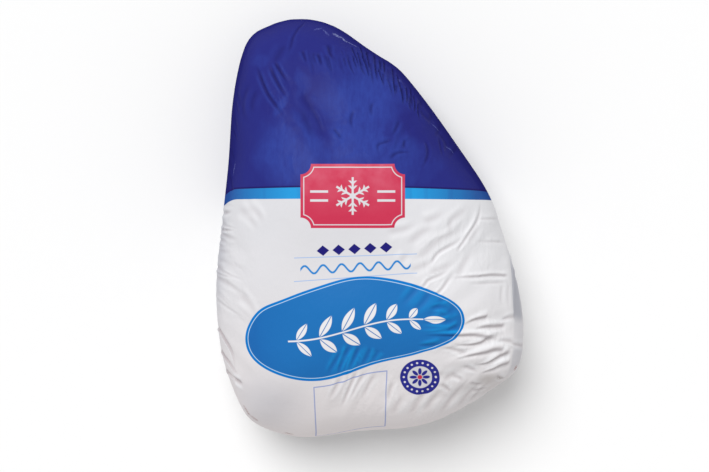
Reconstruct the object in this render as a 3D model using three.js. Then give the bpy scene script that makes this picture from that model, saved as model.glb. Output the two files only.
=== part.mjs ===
// A whole turkey breast, frozen hard and shrink-wrapped in a film bag, lying on its back.
// The bag is shut and can't be seen into, so meat and film are one solid.
// Millimetres, +Z up. X runs across the breast, Y along it from the thick wide end to the narrow tip.
// The origin is the middle of the box, on the surface that the pack lies on.
import * as THREE from "three";

// Driving dimensions.
const LENGTH = 282;
const WIDTH = 205;
const HEIGHT = 106;
const FILM_COLOUR = 0xe6e6ea;

// The crown is the thickest place, towards the wide end. The face falls from it to these heights at both ends.
const CROWN = { x: 0.03 * WIDTH, y: -0.14 * LENGTH };
const TIP_HEIGHT = 0.74 * HEIGHT;
const WIDE_END_HEIGHT = 0.93 * HEIGHT;

// The widest outline runs round the pack at this share of its height, and the underside rolls in to a flat base.
const GIRTH_SHARE = 0.4;
const BASE_SHARE = 0.64;

// Powers of the rounded profile: 2 is a plain ellipse, and more is a flatter face with a tighter shoulder.
const FACE_POWER = 2.75;
const SHOULDER_POWER = 2.15;
const UNDERSIDE_POWER = 2.1;

// Mesh: the aim for a triangle's side, and the steps from the crown to the girth and from there to the base.
const EDGE = 5.2;
const UPPER_STEPS = 30;
const LOWER_STEPS = 11;

// The widest outline seen from above, counterclockwise from the tip. Shares of half the width and half the length.
const OUTLINE = [
  [-0.41, 0.994], // tip
  [-0.55, 0.991],
  [-0.65, 0.963],
  [-0.745, 0.932], // tip's left corner
  [-0.802, 0.885],
  [-0.836, 0.82],
  [-0.866, 0.73],
  [-0.898, 0.575], // long left flank
  [-0.925, 0.28],
  [-0.955, 0.05],
  [-0.995, -0.22], // widest place on the left
  [-0.995, -0.4],
  [-0.955, -0.63],
  [-0.84, -0.855], // lower left corner
  [-0.785, -0.915],
  [-0.69, -0.958],
  [-0.45, -1.003], // wide end
  [-0.06, -0.973],
  [0.292, -0.95],
  [0.525, -0.891], // lower right edge, cut off slantwise
  [0.815, -0.763],
  [0.96, -0.673], // lower right corner
  [1.003, -0.5],
  [0.968, -0.285],
  [0.875, -0.055],
  [0.783, 0.138], // long right flank
  [0.537, 0.422],
  [0.287, 0.67],
  [0.215, 0.733], // bump on the right flank
  [0.15, 0.775],
  [0.07, 0.81],
  [-0.015, 0.851],
  [-0.115, 0.904],
  [-0.21, 0.95],
  [-0.305, 0.98],
];

// Slow swells of the frozen meat under the film.
const SWELL = { height: 1, longest: 150, count: 9, seed: 7 };

// A shallow valley over the breastbone, from near the tip down the blue half.
const BREASTBONE = { from: [-50, 118], to: [-18, 30], depth: 2.2, width: 13 };

// The bag's long fold stands up as a rib where the face turns into the right flank.
const SIDE_FOLD = { from: [91, -6], to: [93, -62], height: 1.6, width: 4 };

// Creases where the film gathers. Each fan has its roots on one line, and its creases run inwards from them.
const CREASE_FANS = [
  // the strong ones at the lower right, from the flank towards the middle
  { roots: [[92, -62], [80, -100]], lengths: [46, 36], headings: [183, 200], count: 4, width: 4.4, depth: 1.7 },
  // slanting ones in the middle of the wide end
  { roots: [[-8, -96], [26, -93]], lengths: [30, 26], headings: [238, 228], count: 3, width: 4.4, depth: 1.1 },
  // short ones down the left flank
  { roots: [[-97, -10], [-94, -80]], lengths: [20, 26], headings: [-25, -48], count: 6, width: 4.2, depth: 1.1 },
  // long ones that cross the middle right, from the flank down towards the middle
  { roots: [[72, 10], [84, -30]], lengths: [50, 42], headings: [222, 215], count: 3, width: 4.6, depth: 1 },
];

// Small seeded generator, so that the swells are the same every time.
function randomNumbers(seed) {
  let state = seed;
  return () => {
    state = (state * 16807) % 2147483647;
    return state / 2147483647;
  };
}

// 0 below low, 1 above high, and smooth between.
const smoothStep = (low, high, value) => THREE.MathUtils.smoothstep(value, low, high);

const signedPower = (value, power) => Math.sign(value) * Math.abs(value) ** power;

// The outline as a smooth closed curve in plan.
const outlineCurve = new THREE.CatmullRomCurve3(
  OUTLINE.map(([across, along]) => new THREE.Vector3((across * WIDTH) / 2, (along * LENGTH) / 2, 0)),
  true,
  "centripetal",
);

// Point of the outline and its outward direction, at a share of the way round.
function outlineAt(share) {
  const point = outlineCurve.getPointAt(share);
  const tangent = outlineCurve.getTangentAt(share);
  return { point, outward: new THREE.Vector3(tangent.y, -tangent.x, 0) };
}

// Height of the smooth crown over a place in plan. It falls ever faster from the crown to either end.
function crownHeight(y) {
  const towardsTip = y > CROWN.y;
  const reach = towardsTip ? LENGTH / 2 - CROWN.y : LENGTH / 2 + CROWN.y;
  const endHeight = towardsTip ? TIP_HEIGHT : WIDE_END_HEIGHT;
  return THREE.MathUtils.lerp(HEIGHT, endHeight, ((y - CROWN.y) / reach) ** 2);
}

// How far a place lies along and beside the line from one point to another.
function besideLine(x, y, from, to) {
  const length = Math.hypot(to[0] - from[0], to[1] - from[1]);
  const along = [(to[0] - from[0]) / length, (to[1] - from[1]) / length];
  const offset = [x - from[0], y - from[1]];
  return {
    share: (offset[0] * along[0] + offset[1] * along[1]) / length,
    beside: offset[1] * along[0] - offset[0] * along[1],
  };
}

// A ridge along a line that fades out at both ends, 1 at its crest.
function ridge(x, y, from, to, width) {
  const { share, beside } = besideLine(x, y, from, to);
  const fade = smoothStep(-0.15, 0.2, share) * (1 - smoothStep(0.8, 1.15, share));
  return fade * Math.exp(-((beside / width) ** 2));
}

const swellWaves = (() => {
  const random = randomNumbers(SWELL.seed);
  return Array.from({ length: SWELL.count }, (_, index) => {
    const heading = 2 * Math.PI * random();
    const wavelength = SWELL.longest / (1 + 0.25 * index);
    return {
      kx: (2 * Math.PI * Math.cos(heading)) / wavelength,
      ky: (2 * Math.PI * Math.sin(heading)) / wavelength,
      phase: 2 * Math.PI * random(),
      height: SWELL.height / (1 + 0.35 * index),
    };
  });
})();

const swell = (x, y) =>
  swellWaves.reduce((sum, w) => sum + w.height * Math.sin(w.kx * x + w.ky * y + w.phase), 0);

// The creases of every fan as lines in plan.
const creases = CREASE_FANS.flatMap(({ roots, lengths, headings, count, width, depth }) =>
  Array.from({ length: count }, (_, index) => {
    const share = index / (count - 1);
    const lerp = THREE.MathUtils.lerp;
    const from = [lerp(roots[0][0], roots[1][0], share), lerp(roots[0][1], roots[1][1], share)];
    const heading = THREE.MathUtils.degToRad(lerp(headings[0], headings[1], share));
    const length = lerp(lengths[0], lengths[1], share);
    const to = [from[0] + length * Math.cos(heading), from[1] + length * Math.sin(heading)];
    return { from, to, width, depth };
  }),
);

// How far the face stands out of its smooth form. upness is 1 on the crown and 0 at the girth, which stays smooth.
function relief(x, y, upness) {
  const onFace = smoothStep(0.02, 0.5, upness);
  const valley = BREASTBONE.depth * ridge(x, y, BREASTBONE.from, BREASTBONE.to, BREASTBONE.width);
  const fold = SIDE_FOLD.height * ridge(x, y, SIDE_FOLD.from, SIDE_FOLD.to, SIDE_FOLD.width);
  const gathered = creases.reduce((sum, c) => sum + c.depth * ridge(x, y, c.from, c.to, c.width), 0);
  return onFace * (swell(x, y) + fold - valley - gathered);
}

// One ring of the surface. turn is the profile's angle: 90 at the crown, 0 at the girth and -90 at the base.
function ringPoints(turn) {
  const angle = THREE.MathUtils.degToRad(turn);
  const upper = turn >= 0;
  const spread = upper
    ? Math.cos(angle) ** (2 / FACE_POWER)
    : BASE_SHARE + (1 - BASE_SHARE) * Math.cos(angle) ** (2 / UNDERSIDE_POWER);
  const rise = signedPower(Math.sin(angle), 2 / (upper ? SHOULDER_POWER : UNDERSIDE_POWER));
  const perimeter = outlineCurve.getLength() * spread;
  const count = Math.max(6, 6 * Math.round(perimeter / EDGE / 6));
  return Array.from({ length: count }, (_, index) => {
    const { point, outward } = outlineAt(index / count);
    const x = THREE.MathUtils.lerp(CROWN.x, point.x, spread);
    const y = THREE.MathUtils.lerp(CROWN.y, point.y, spread);
    const top = crownHeight(y);
    const girth = GIRTH_SHARE * top;
    const place = new THREE.Vector3(x, y, girth + rise * (upper ? top - girth : girth));
    const direction = outward.multiplyScalar(Math.cos(angle)).setZ(Math.sin(angle)).normalize();
    return place.addScaledVector(direction, relief(x, y, Math.max(rise, 0)));
  });
}

// Joins two rings that may have different numbers of points, so that triangles stay even in size.
function stitch(inner, outer, innerStart, outerStart, faces) {
  let i = 0;
  let j = 0;
  while (i < inner || j < outer) {
    const a = innerStart + (i % inner);
    const b = outerStart + (j % outer);
    if ((i + 1) / inner < (j + 1) / outer && i < inner) {
      faces.push(a, b, innerStart + ((i + 1) % inner));
      i += 1;
    } else {
      faces.push(a, b, outerStart + ((j + 1) % outer));
      j += 1;
    }
  }
}

// The closed surface: crown point, rings down to the flat base, and the base's middle.
function packGeometry() {
  const upperTurns = Array.from({ length: UPPER_STEPS }, (_, k) => 90 * (1 - (k + 1) / UPPER_STEPS));
  const lowerTurns = Array.from({ length: LOWER_STEPS }, (_, k) => (-90 * (k + 1)) / LOWER_STEPS);
  const rings = [...upperTurns, ...lowerTurns].map(ringPoints);
  const crown = new THREE.Vector3(CROWN.x, CROWN.y, HEIGHT + relief(CROWN.x, CROWN.y, 1));
  const baseMiddle = new THREE.Vector3(CROWN.x, CROWN.y, 0);
  const vertices = [crown, ...rings.flat(), baseMiddle];
  const faces = [];
  let start = 1;
  rings[0].forEach((_, index) => faces.push(0, 1 + index, 1 + ((index + 1) % rings[0].length)));
  rings.slice(1).forEach((ring, index) => {
    const inner = rings[index].length;
    stitch(inner, ring.length, start, start + inner, faces);
    start += inner;
  });
  const last = rings.at(-1).length;
  const middle = vertices.length - 1;
  rings.at(-1).forEach((_, index) => faces.push(middle, start + ((index + 1) % last), start + index));
  return new THREE.BufferGeometry().setFromPoints(vertices).setIndex(faces);
}

const film = new THREE.MeshStandardMaterial({ color: FILM_COLOUR, roughness: 0.35, metalness: 0 });
const pack = new THREE.Mesh(packGeometry(), film);
pack.name = "turkey_breast_pack";

// The outline isn't quite even about its middle, so the finished solid is centred over the origin.
const box = new THREE.Box3().setFromBufferAttribute(pack.geometry.getAttribute("position"));
const middle = box.getCenter(new THREE.Vector3());
pack.geometry.translate(-middle.x, -middle.y, -box.min.z);

const group = new THREE.Group();
group.add(pack);
export default group;
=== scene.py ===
"""A whole frozen turkey breast in its printed film bag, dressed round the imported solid.

The bag is one closed skin. It is drawn tight over the solid, pressed into creases where the film gathers,
and finished as satin film with a plain printed design. Sizes are in millimetres until a mesh is made.
"""

import logging
import math
from collections.abc import Iterator
from contextlib import contextmanager
from dataclasses import dataclass, field, replace
from enum import Enum
from functools import reduce

import bpy
import numpy as np
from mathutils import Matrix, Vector, noise
from mathutils.bvhtree import BVHTree
from mathutils.kdtree import KDTree


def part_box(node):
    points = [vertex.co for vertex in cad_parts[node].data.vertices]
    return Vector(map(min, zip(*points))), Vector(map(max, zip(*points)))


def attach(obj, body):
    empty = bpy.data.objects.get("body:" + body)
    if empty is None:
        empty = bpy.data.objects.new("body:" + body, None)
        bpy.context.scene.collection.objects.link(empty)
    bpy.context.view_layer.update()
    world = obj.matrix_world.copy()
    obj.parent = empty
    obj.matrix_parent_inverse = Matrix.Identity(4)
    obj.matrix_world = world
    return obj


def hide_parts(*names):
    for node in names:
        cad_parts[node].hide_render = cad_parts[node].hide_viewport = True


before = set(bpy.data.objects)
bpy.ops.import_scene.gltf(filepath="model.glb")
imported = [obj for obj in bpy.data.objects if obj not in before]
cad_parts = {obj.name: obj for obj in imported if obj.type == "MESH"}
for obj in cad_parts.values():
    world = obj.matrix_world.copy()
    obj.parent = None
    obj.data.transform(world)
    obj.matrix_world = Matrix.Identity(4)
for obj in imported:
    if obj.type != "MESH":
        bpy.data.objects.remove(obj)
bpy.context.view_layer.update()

MM = 0.001
BODY = "root"
NODE = "turkey_breast_pack"
FACE_FLOOR = 44.0

Point = tuple[float, float]
Colour = tuple[float, float, float]
Socket = bpy.types.NodeSocket

log = logging.getLogger("turkey_breast")


def linear(red: int, green: int, blue: int) -> Colour:
    """Turns a screen colour, from 0 to 255, into the light values that a shader takes."""
    shares = [channel / 255 for channel in (red, green, blue)]
    return tuple(s / 12.92 if s <= 0.04045 else ((s + 0.055) / 1.055) ** 2.4 for s in shares)


def smooth_step(low: float, high: float, value: np.ndarray) -> np.ndarray:
    """Rises smoothly from 0 where the value is low to 1 where it is high."""
    share = np.clip((value - low) / (high - low), 0, 1)
    return share * share * (3 - 2 * share)


def bell(value: np.ndarray, middle: float, width: float) -> np.ndarray:
    """1 in the middle, falling off to both sides."""
    return np.exp(-(((value - middle) / width) ** 2))


def ripple(x: float, y: float, z: float) -> float:
    """Soft noise round 0, with one value for each place."""
    return noise.noise(Vector((x, y, z)))


def clear_selection() -> None:
    """Deselects everything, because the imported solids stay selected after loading."""
    bpy.ops.object.select_all(action="DESELECT")


def take_up(piece: bpy.types.Object) -> None:
    """Makes one piece the only selected and active one.

    Args:
        piece: The piece to work on.
    """
    clear_selection()
    piece.select_set(True)
    bpy.context.view_layer.objects.active = piece


def finish_with(piece: bpy.types.Object, kind: str, **settings: object) -> None:
    """Puts a modifier on a piece and applies it.

    Args:
        piece: The piece to change.
        kind: Blender's name for the modifier.
        **settings: The modifier's values.
    """
    take_up(piece)
    modifier = piece.modifiers.new(kind.title(), kind)
    for name, value in settings.items():
        setattr(modifier, name, value)
    bpy.ops.object.modifier_apply(modifier=modifier.name)


@contextmanager
def edit_mode(piece: bpy.types.Object, chosen: list[bool] | None = None) -> Iterator[None]:
    """Opens a piece's mesh for changes, and closes it after them.

    Args:
        piece: The piece to change.
        chosen: Whether each face is selected, or None for all of the mesh.
    """
    take_up(piece)
    bpy.ops.object.mode_set(mode="EDIT")
    if chosen is None:
        bpy.ops.mesh.select_all(action="SELECT")
    else:
        bpy.ops.mesh.select_mode(type="FACE")
        bpy.ops.mesh.select_all(action="DESELECT")
        bpy.ops.object.mode_set(mode="OBJECT")
        piece.data.polygons.foreach_set("select", chosen)
        bpy.ops.object.mode_set(mode="EDIT")
    yield
    bpy.ops.object.mode_set(mode="OBJECT")


class CreaseKind(Enum):
    """How the film lies along a crease."""

    GROOVE = "pulled in, with a soft swelling on both sides"
    PLEAT = "lapped over, high on one side and low on the other"
    RIB = "standing up"
    LAP = "one layer over another, with its edge on one side and a low slope behind it"


@dataclass(frozen=True)
class CreaseLook:
    """The size of a crease, and how it starts and ends.

    root and tail are the shares of its way where it has come to its full depth and starts to lose it.
    taper is how much narrower it gets, and is below 0 where it widens. tint is how strong its painted shade
    is.
    """

    width: float = 1.3
    depth: float = 0.6
    kind: CreaseKind = CreaseKind.GROOVE
    root: float = 0.25
    taper: float = 0.7
    shade_tint: float = 1.0
    even_at: float = 0.45
    tail: float = 0.55
    skirt: Point = (3.0, 4.0)

    def half_width(self, share: np.ndarray) -> np.ndarray:
        """Half the width at each share of the way along the crease."""
        return self.width * (1 + self.taper * (self.even_at - share))

    def fade(self, share: np.ndarray, ratio: np.ndarray) -> np.ndarray:
        """How much of the depth is left along the crease, and a few half widths beside it."""
        ends = smooth_step(0, self.root, share) * (1 - smooth_step(self.tail, 1, share))
        return ends * (1 - smooth_step(*self.skirt, ratio))

    def section(self, ratio: np.ndarray, side: np.ndarray) -> tuple[np.ndarray, np.ndarray, np.ndarray]:
        """The form across the crease, and the painted shade and highlight along it.

        Args:
            ratio: How far off each place is, in half widths.
            side: On which side of the crease it lies, 1 or -1.

        Returns:
            The height, as a share of the depth, and how much painted shade and painted highlight the film
            gets there.
        """
        valley = np.exp(-(ratio**1.6))
        # line becomes the painted shade along the crease and shoulder the painted highlight beside it; a rib
        # gets its painted highlight along its top
        line, shoulder, none = bell(ratio, 0, 0.8), bell(ratio, 2.1, 0.9), np.zeros_like(ratio)
        if self.kind is CreaseKind.GROOVE:
            return 0.4 * shoulder - valley, line, shoulder
        if self.kind is CreaseKind.PLEAT:
            lapped = 1.3 * side * ratio * np.exp(-0.7 * ratio**2)
            return lapped - 0.4 * valley, line, shoulder * (side > 0)
        if self.kind is CreaseKind.LAP:
            edge = 0.7 * np.tanh(side * ratio / 0.5)
            return edge * np.exp(-0.45 * ratio), 0.7 * line * (side < 0), none
        return valley, none, valley


@dataclass(frozen=True)
class Crease:
    """One crease on the face, as a smooth line through a few points seen from the camera."""

    through: tuple[Point, ...]
    look: CreaseLook
    spacing: float = 2.0

    def route(self) -> np.ndarray:
        """Follows the crease in plan.

        Returns:
            Evenly spaced points, one row each.
        """
        given = np.array(self.through, float)
        ends = np.vstack([2 * given[0] - given[1], given, 2 * given[-1] - given[-2]])
        rows = []
        for a, b, c, d in zip(ends, ends[1:], ends[2:], ends[3:]):
            count = max(2, round(float(np.linalg.norm(c - b)) / self.spacing))
            t = (np.arange(count) / count)[:, None]
            bend = t**2 * (2 * a - 5 * b + 4 * c - d) + t**3 * (3 * (b - c) + d - a)
            rows.append(0.5 * (2 * b + t * (c - a) + bend))
        return np.vstack([*rows, given[-1:]])


@dataclass(frozen=True)
class CreaseGroup:
    """Creases that look alike, each along its own way."""

    look: CreaseLook
    ways: tuple[tuple[Point, ...], ...]

    def creases(self, _: np.random.Generator) -> list[Crease]:
        """Gives its creases one by one."""
        return [Crease(way, self.look) for way in self.ways]


@dataclass(frozen=True)
class CreaseFan:
    """A row of creases with their roots on one line, and headings that turn from the first to the last.

    slips says how far the unevenness moves each one's place, length, heading, width, depth and bow.
    """

    look: CreaseLook
    roots: tuple[Point, Point]
    lengths: Point
    headings: Point
    count: int
    unevenness: float = 0.3
    slips: tuple[float, ...] = (1, 1.4, 20, 1, 1.6, 0.16)

    def creases(self, random: np.random.Generator) -> list[Crease]:
        """Lays out the row.

        Args:
            random: The seeded source of its unevenness.

        Returns:
            Its creases.
        """
        row = []
        first, last = map(np.array, self.roots)
        for index in range(self.count):
            drawn = random.uniform(-0.5, 0.5, 6) * self.unevenness
            place, longer, turn, wider, deeper, bow = drawn * self.slips
            share = (index + place) / max(self.count - 1, 1)
            start = first + share * (last - first)
            length = np.interp(share, (0, 1), self.lengths) * (1 + longer)
            heading = math.radians(np.interp(share, (0, 1), self.headings) + turn)
            along = np.array([math.cos(heading), math.sin(heading)])
            aside = np.array([-along[1], along[0]])
            places = (start, start + length * (0.5 * along + bow * aside), start + length * along)
            width, depth = self.look.width * (1 + wider), self.look.depth * (1 + deeper)
            through = tuple((float(x), float(y)) for x, y in places)
            row.append(Crease(through, replace(self.look, width=width, depth=depth)))
        return row


CREASE_ROWS = (
    # strong ones at the lower right, wide at the flank and pointed towards the middle
    CreaseGroup(CreaseLook(1.3, 1.0, CreaseKind.PLEAT, root=0.12, taper=0.9), (
        ((79, -59.6), (75.9, -60.2), (71.8, -61.1), (68.2, -62.2), (62, -65.4)),
        ((91, -65.6), (82.6, -66.2), (76, -66.6), (68, -68.6)),
        ((85.4, -74.4), (75.9, -73), (68.2, -72.1), (58, -72.5), (46, -72.3), (34, -72.4)),
        ((84, -73), (79.5, -74.1), (74.5, -77), (66.9, -78.6), (56, -79)),
    )),
    CreaseGroup(CreaseLook(1.65, 1.35, CreaseKind.PLEAT, root=0.1, taper=1.0), (
        ((90, -82.6), (87.1, -81.9), (82.6, -82.2), (78.1, -83.7), (73.6, -84.6), (65.5, -86.2), (55, -89)),
        ((94.4, -83.4), (89.8, -85.1), (86.2, -86.9), (82.6, -88.7), (79, -90.5), (75.4, -91.6), (69, -91.9)),
        ((94, -90.6), (87.1, -92.7), (83.5, -94.5), (79.9, -95.8), (73, -98)),
    )),
    CreaseGroup(CreaseLook(1.2, 0.55, taper=0.8), (
        ((98, -59.6), (92, -60.6), (86, -62.8)),
        ((97, -76.6), (89.3, -75.8), (84, -77)),
        ((104, -79.6), (98, -78.6), (93, -77)),
        ((67, -83.6), (63.3, -84.2), (57.9, -82.4), (53.4, -81.5), (46, -80.6)),
        ((57.5, -60.8), (51.5, -63), (44, -63.6), (33, -64)),
        ((60, -66), (54.5, -68), (50, -70.6)),
        ((47, -78.4), (39, -79.3), (31, -79.2)),
        ((54, -53.6), (45, -53.4), (38, -55)),
        ((62, -93), (67.8, -94.9), (73, -97.6)),
    )),
    # proud ones between them, that catch the light and carry a painted highlight
    CreaseGroup(CreaseLook(1.3, 0.5, CreaseKind.RIB, taper=0.8), (
        ((90, -79.6), (82, -79.4), (72, -81.4), (62, -83.6)),
        ((90, -69.6), (80, -69.8), (68, -69.4)),
        ((93, -87.4), (86, -90.2), (77, -94)),
        ((88, -62.8), (80, -63.4), (69, -65.4)),
        ((82, -71), (74, -74.6), (64, -75.6)),
        ((60, -64.9), (55.2, -65.8), (50, -67.3), (43, -68.8), (30, -69.2)),
        ((48, -74.6), (41, -76.2), (32, -77.2)),
    )),
    # long soft ones that slant up towards the lower right corner
    CreaseGroup(CreaseLook(2.1, 0.42, taper=0.3), (
        ((26, -128), (30, -120), (37.3, -110.3), (44, -105)),
        ((46, -126), (51, -119), (59.5, -108.4), (66, -103)),
        ((57, -122), (64, -114), (72.6, -105), (79, -101)),
        ((66, -117), (74, -108.6), (81.4, -101.5)),
        ((38, -103), (44, -100), (52, -96.6)),
        ((48, -103), (55, -98.6), (62, -96)),
        ((36, -124), (42, -115), (49, -108.6)),
        ((14, -126), (19, -117), (24, -110)),
    )),
    CreaseGroup(CreaseLook(1.2, 0.6, taper=0.5), (
        ((54, -99), (60.2, -101.4), (62.4, -104)),
        ((66, -103.6), (71.8, -105.3), (77, -104.4)),
        ((67, -109.6), (73.6, -108.9), (80, -107)),
        ((47, -104.6), (52.1, -108.4), (55, -111)),
        ((84, -99), (88, -101.4), (91, -100)),
    )),
    # slanting ones from the oval down through the label box
    CreaseGroup(CreaseLook(1.05, 0.6, taper=0.6), (
        ((-8.6, -95.5), (-16.3, -113.2), (-20.2, -122.5)),
        ((-3.5, -96.5), (-10.4, -108.6), (-15.2, -119.4)),
        ((-6.8, -78.4), (-13.2, -92.4), (-15.8, -99.4)),
        ((-13.2, -77.8), (-19.6, -91.4), (-22, -101)),
    )),
    CreaseGroup(CreaseLook(1.3, 0.4, taper=0.6), (
        ((-19.5, -99.8), (-24.7, -110.6), (-28.4, -117)),
        ((4.5, -96.6), (-2.5, -108.1), (-6.6, -118.4)),
        ((15, -103), (12.4, -112), (12, -118)),
        ((1, -80), (-6.6, -94.3)),
        ((5.6, -81.6), (0.8, -90)),
        ((-18, -82), (-25, -92), (-29, -100)),
    )),
    CreaseGroup(CreaseLook(1.5, 0.35, CreaseKind.RIB, taper=0.6), (
        ((-9.8, -82), (-14.4, -94), (-20.6, -110), (-24, -120)),
        ((-4, -99), (-11.6, -112), (-16.6, -123)),
        ((18, -101), (17.6, -112), (20, -124)),
    )),
    # long soft ones over the middle right, from their low ends up to the shoulder
    CreaseGroup(CreaseLook(0.95, 0.6, root=0.15, taper=-0.4), (
        (
            (57.6, -17.6), (59.5, -13.9), (62.5, -9.7), (66.1, -4.3), (69.7, 1.1), (72, 5.3), (73.5, 11.2),
            (74.1, 20),
        ),
        ((40, -26), (42.1, -21.6), (44.5, -18.1), (47.5, -15.7), (51.7, -13.3), (57.1, -10.3), (63, -6)),
        ((34, -41), (36.5, -38.4), (38.6, -35.6), (42.1, -33.9), (48, -31.4), (55, -27)),
        ((44, -45), (46.3, -43.2), (49.3, -39.6), (52.4, -35), (57, -30)),
    )),
    CreaseGroup(CreaseLook(1.9, 0.36, taper=0.2), (
        ((29, -24), (32.6, -21), (38, -15.7), (43.3, -10.9), (48.7, -6.9), (54.1, -4.3), (61, -0.6), (68, 5)),
        ((51, -5), (52.9, -0.1), (54.1, 4.1), (57.1, 7.1), (62.4, 10.8), (68, 17)),
        ((57, -34), (61.3, -26.4), (66, -19.4), (70, -14)),
        ((65, -11), (70.3, -3.1), (74, 3)),
        ((38, -31), (48, -27.6), (57, -23)),
        ((26, -29), (35, -25.6), (44, -22.6)),
        ((19.6, -23.4), (22.4, -20.4), (25.6, -17.6)),
        ((10, -3), (21.8, -1.3), (32, 3.2)),
        ((34, 4), (42, 6), (50, 11)),
        ((24, -12), (34, -4), (44, 2)),
    )),
    CreaseGroup(CreaseLook(1.7, 0.45, CreaseKind.RIB, taper=0.2), (
        ((60.6, -8), (65, -2.4), (68.3, 3), (70.3, 9), (71.4, 18)),
        ((42, -26), (45.7, -20.8), (51.7, -16.7), (60, -12)),
        ((41, -41), (47, -34.6), (52, -30), (59, -24)),
        ((35, -12), (42, -7.4), (50, -3.6), (58, 2.6)),
    )),
    # level marks over the right shoulder, where the bag was folded
    CreaseGroup(CreaseLook(1.0, 0.75, CreaseKind.PLEAT, root=0.08, taper=0.3), (
        ((92.6, -32.3), (81.6, -31.8), (72.6, -32.7), (62, -33.2), (52, -34)),
    )),
    CreaseGroup(CreaseLook(0.9, 0.3, taper=0.3), (
        ((86.6, 5.8), (78, 5.6), (70.5, 5.3)),
        ((91, -10), (82, -9.7), (68.5, -9.4)),
        ((91.6, -36.6), (78, -37.4), (64, -38)),
    )),
    CreaseGroup(CreaseLook(1.5, 0.4, CreaseKind.RIB, root=0.08, taper=0.3), (
        ((92, -34.8), (77, -35.2), (60, -36.2)),
    )),
    # the bag's long fold, that stands up along the right shoulder and turns the film away behind it
    CreaseGroup(CreaseLook(1.0, 0.7, CreaseKind.RIB, 0.12, 0.0), (
        ((91.4, -8), (92.7, -14), (93.6, -20), (94.8, -27), (95.4, -35), (96, -48), (96.2, -60)),
    )),
    CreaseGroup(CreaseLook(1.5, 0.9, CreaseKind.LAP, 0.4, 0.0), (
        ((92, 2), (93.4, -8), (95, -20), (96.2, -27), (96.8, -35), (97.4, -48), (97.4, -60)),
    )),
    # uneven ones that turn in over the left flank and run down it
    CreaseFan(CreaseLook(1.2, 0.3, root=0.35), ((-105, 15), (-111, -28)), (17, 22), (-14, -28), 12, 0.9),
    CreaseFan(CreaseLook(1.5, 0.32, root=0.35), ((-109, -16), (-110, -55)), (21, 23), (-32, -46), 9, 0.85),
    CreaseFan(CreaseLook(1.1, 0.7, root=0.4), ((-105.6, 13), (-109.4, -20)), (13, 12), (-6, -18), 9, 0.85),
    CreaseGroup(CreaseLook(2.0, 0.3), (
        ((-89, 14), (-81.8, 7.8), (-74, -3)),
        ((-83, 15), (-75, 9), (-71, 2)),
        ((-88, -44), (-80, -52), (-76, -60)),
    )),
    # long ones at the lower left, that meet in a small dimple
    CreaseGroup(CreaseLook(0.95, 1.2, CreaseKind.PLEAT, root=0.4, taper=0.0, shade_tint=1.4), (
        ((-111, -52), (-106, -60), (-100.4, -70), (-97.6, -75), (-93.6, -82), (-91.6, -88), (-90.4, -98)),
        ((-111, -60), (-106, -68), (-101, -80), (-97.4, -87), (-93, -93), (-89.6, -99.4), (-86, -107)),
        ((-110, -72), (-104.6, -82), (-99, -92.4), (-96, -96.4), (-92, -100.6), (-84.4, -107)),
    )),
    CreaseGroup(CreaseLook(1.0, 0.9, root=0.4, taper=0.0, shade_tint=1.4), (
        ((-108, -84), (-102, -92), (-96.6, -99.6), (-94.4, -104.6), (-90.4, -112.4), (-87, -121)),
    )),
    CreaseGroup(CreaseLook(1.7, 0.9, taper=0.0, shade_tint=1.3), (
        ((-92, -100.6), (-88.4, -103.4), (-85, -105)),
    )),
    # soft ones beside the bag's long fold
    CreaseGroup(CreaseLook(1.5, 0.22, root=0.2, taper=0.0), (
        ((92.8, -36.6), (92.4, -46), (92.8, -57)),
        ((88.4, -38), (87.6, -47), (88.2, -54)),
    )),
    # soft ones that slant over the oval's right end
    CreaseGroup(CreaseLook(1.7, 0.32, taper=0.2), (
        ((33, -38), (27, -45), (20, -53)),
        ((41, -42), (35, -50), (27, -58)),
        ((50, -47), (43, -55), (36, -60)),
        ((57, -53), (51, -58), (44, -61)),
    )),
    # long ones down the tip's left half
    CreaseGroup(CreaseLook(1.0, 0.75, taper=0.3), (
        (
            (-77, 109.4), (-74.6, 103.4), (-72.2, 96.8), (-68.6, 89), (-63.9, 82.4), (-59.1, 75.9),
            (-55.6, 70.6),
        ),
        ((-67.4, 109.4), (-65.1, 102.8), (-62.1, 96.8), (-58.5, 90.8), (-54.6, 85)),
        ((-64.4, 112), (-60.9, 105.8), (-57.9, 101), (-54.8, 96)),
    )),
    CreaseGroup(CreaseLook(0.9, 0.5, taper=-0.6), (
        ((-42.4, 140), (-44.6, 136.7), (-48.6, 132.7), (-51.9, 127), (-53.5, 120.5), (-57, 112.5)),
    )),
    CreaseGroup(CreaseLook(2.4, 0.32, taper=0.2), (
        ((-80.6, 97.6), (-84.2, 88.4), (-85.4, 82.4), (-84.2, 74.7), (-79, 68)),
        ((-75.8, 93), (-79.4, 83.6), (-78.8, 74)),
        ((-56.8, 123), (-61.4, 115.6), (-65, 107.6)),
        ((-40.6, 94), (-43.8, 87.2), (-39.9, 80), (-35.2, 71.7), (-32.8, 63.9), (-31, 56.6)),
        ((-46.4, 80.6), (-43.5, 72.9), (-40.5, 65.7), (-37.6, 57.6)),
    )),
    # uneven ones over the middle of the dark half
    CreaseGroup(CreaseLook(1.0, 0.5, taper=0.4), (
        ((20, 72.6), (17, 65.5), (14, 60.4)),
        ((1.4, 84), (0.6, 79), (1.4, 73.6)),
        ((23.2, 59.4), (22.4, 52)),
        ((15.4, 58.6), (9.8, 57.1), (5, 54.7), (6.2, 47)),
        ((12.6, 45.4), (18.2, 49.9), (28.4, 50.4)),
        ((46, 60.4), (48.7, 46.6)),
        ((-24.8, 66.6), (-21.6, 62.6), (-18.4, 58.4)),
        ((37, 59), (38.8, 49.1), (34, 38)),
        ((-11, 79), (-13, 72), (-11.6, 64)),
    )),
    CreaseGroup(CreaseLook(1.3, 0.42, CreaseKind.RIB, taper=0.2), (
        ((-62.4, 91), (-59.6, 82.4), (-56.4, 75)),
        ((-38.4, 82), (-33, 72), (-30.6, 62)),
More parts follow.
